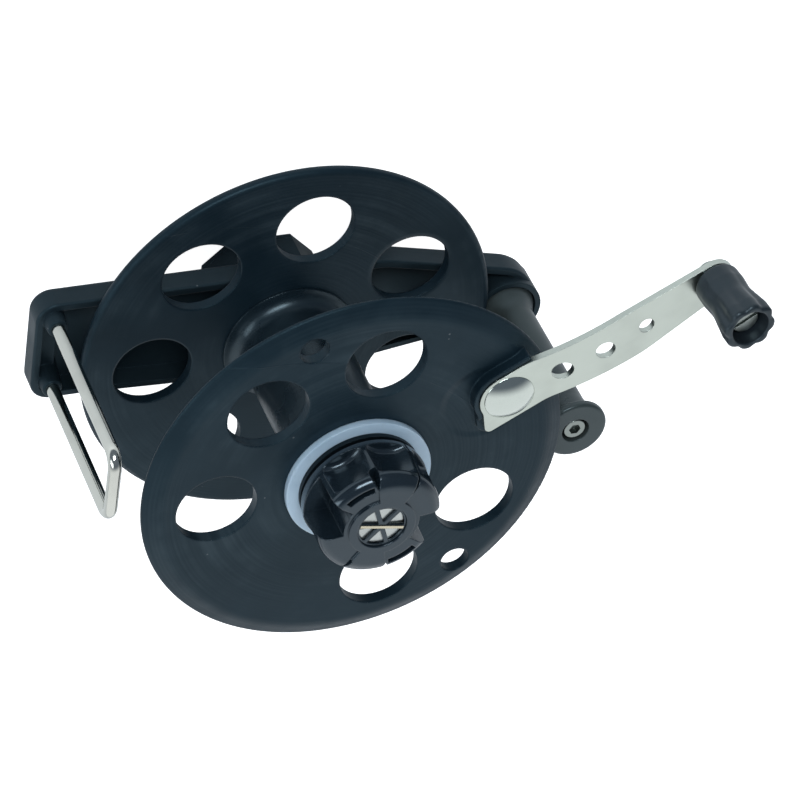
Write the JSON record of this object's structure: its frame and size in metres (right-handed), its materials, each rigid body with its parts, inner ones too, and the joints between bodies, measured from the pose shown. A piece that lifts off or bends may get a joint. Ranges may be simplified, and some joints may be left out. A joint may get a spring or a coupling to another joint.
{
  "type": "diver's line reel",
  "caption": "Empty hand line reel: a spool with holed flanges on a moulded frame, with a cranked grip, a wire line guide, a hand post and a star brake knob.",
  "frame": {"origin": "centre of the rear cover's outer face, on the spool's axis", "axes": "+Z along the spool's axis from the rear cover to the crank, +X along the frame towards the hand post"},
  "size_m": [0.2311, 0.1676, 0.1516],
  "materials": {
    "frame_plastic": "fine moulded texture, satin",
    "post_plastic": "satin, faint mould lines",
    "flange_plastic": "satin, with faint turned rings",
    "drum_plastic": "smooth satin",
    "grip_plastic": "worn satin",
    "knob_plastic": "gloss",
    "plate_plastic": "black, plain",
    "nylon": "pale blue-grey nylon, waxy",
    "arm_steel": "fine brushed, rounded edges",
    "polished_bolt": "polished stainless",
    "polished_wire": "polished stainless rod",
    "axle_steel": "turned stainless",
    "screw_steel": "plain stainless",
    "bar_metal": "pale gold, thin",
    "brass": "plain"
  },
  "bodies": {
    "frame": {"frame": "frame_plastic", "rear_cover": "frame_plastic", "cover_screws": "screw_steel", "axle": "axle_steel", "axle_washer": "screw_steel", "axle_nut": "screw_steel", "retaining_screw": "axle_steel", "thrust_washer": "nylon", "wire_guide": "polished_wire", "guide_nuts": "screw_steel", "handle_post": "post_plastic", "post_screw": "screw_steel", "post_washer": "screw_steel", "post_nut": "screw_steel"},
    "spool": {"rear_flange": "flange_plastic", "front_flange": "flange_plastic", "drum": "drum_plastic", "rear_bush": "nylon", "front_bush": "nylon", "rear_flange_screws": "screw_steel", "front_flange_screws": "screw_steel", "brake_ring": "nylon", "crank_arm": "arm_steel", "crank_bolt": "polished_bolt", "crank_nut": "screw_steel", "grip_screw": "screw_steel", "grip_washer": "nylon", "grip_nut": "screw_steel"},
    "grip": {"crank_grip": "grip_plastic"},
    "brake": {"pressure_plate": "plate_plastic", "disc_springs": "axle_steel"},
    "knob": {"star_knob": "knob_plastic", "knob_insert": "brass", "knob_cap": "knob_plastic", "cap_bar": "bar_metal"}
  },
  "joints": [
    {"name": "spool_spin", "type": "hinge", "parent": "frame", "child": "spool", "pos_m": [0, 0, 0.076], "axis": [0, 0, 1], "continuous": true},
    {"name": "grip_spin", "type": "hinge", "parent": "spool", "child": "grip", "pos_m": [0.12421, 0.07686, 0.12296], "axis": [0.0518, 0.0321, 0.9981], "continuous": true},
    {"name": "brake_travel", "type": "slide", "parent": "frame", "child": "brake", "axis": [0, 0, 1], "range_m": [0, 0.0015]},
    {"name": "knob_turn", "type": "hinge", "parent": "brake", "child": "knob", "pos_m": [0, 0, 0.13], "axis": [0, 0, 1], "range_deg": [0, 360]}
  ],
  "couplings": [
    {"joint": "brake_travel", "follows": "knob_turn", "m_per_rad": 0.0002387}
  ]
}
